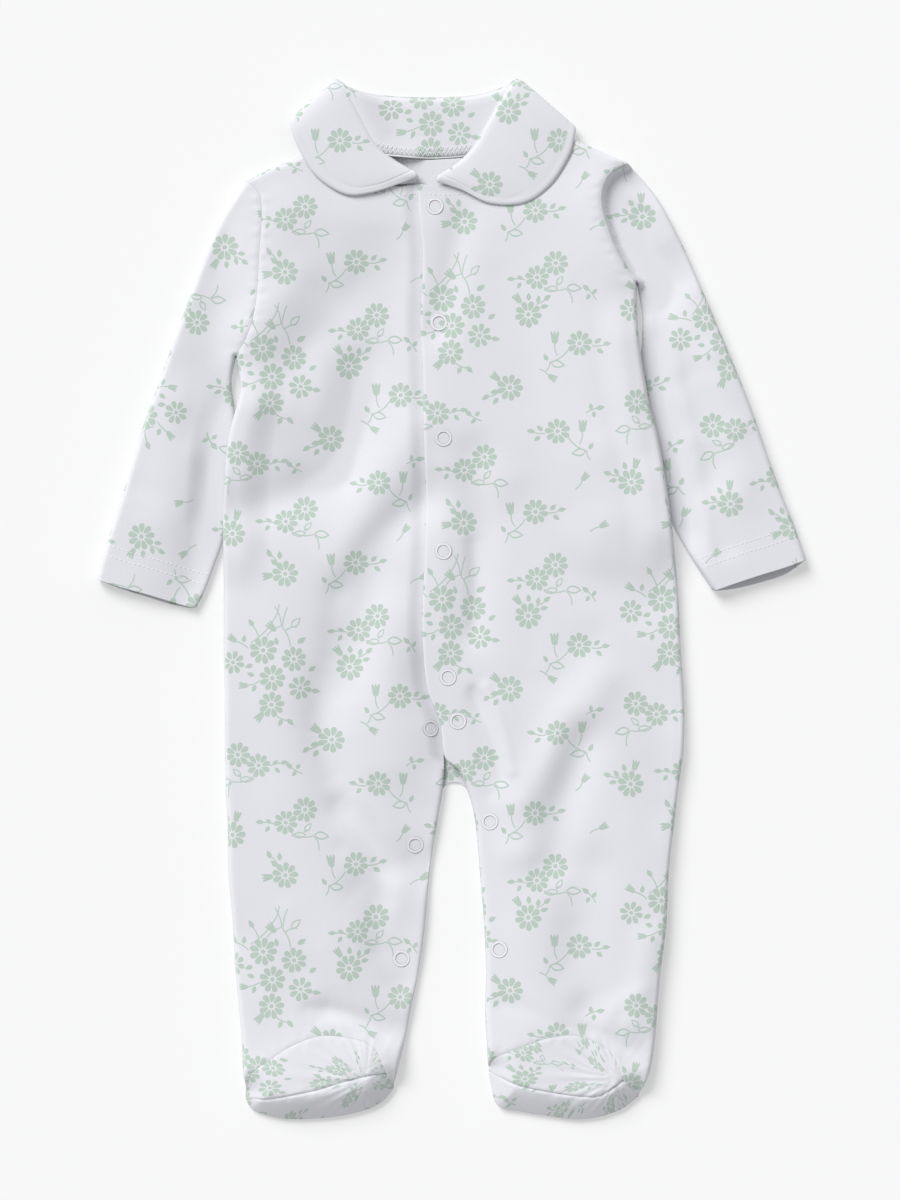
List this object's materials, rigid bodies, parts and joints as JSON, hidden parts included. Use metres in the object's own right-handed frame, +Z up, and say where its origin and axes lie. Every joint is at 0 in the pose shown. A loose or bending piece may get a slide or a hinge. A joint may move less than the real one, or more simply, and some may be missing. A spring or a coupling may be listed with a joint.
{
  "type": "footed baby sleepsuit",
  "caption": "Long-sleeved footed baby sleepsuit in printed cotton, laid flat, with a wide rounded collar and ring press studs down the front and the inner legs.",
  "frame": {"origin": "centre of the bounding box, on the surface that the garment lies on", "axes": "+Y towards the neck, +X towards the wearer's left, +Z up out of the surface, through the fronts"},
  "size_m": [0.3896, 0.571, 0.015],
  "materials": {
    "printed_cotton": "soft white cotton interlock with a small sage-green flower print",
    "white_enamel": "gloss white enamel on a pressed brass ring"
  },
  "bodies": {
    "root": {"back": "printed_cotton", "front_right": "printed_cotton", "front_left": "printed_cotton", "sleeve_right": "printed_cotton", "sleeve_left": "printed_cotton", "instep_right": "printed_cotton", "instep_left": "printed_cotton", "sole_right": "printed_cotton", "sole_left": "printed_cotton", "collar": "printed_cotton", "stud_neck": "white_enamel", "stud_chest": "white_enamel", "stud_ribs": "white_enamel", "stud_waist": "white_enamel", "stud_hip": "white_enamel", "stud_crotch_left": "white_enamel", "stud_crotch_right": "white_enamel", "stud_right_knee": "white_enamel", "stud_right_ankle": "white_enamel", "stud_left_knee": "white_enamel", "stud_left_ankle": "white_enamel"}
  },
  "joints": []
}
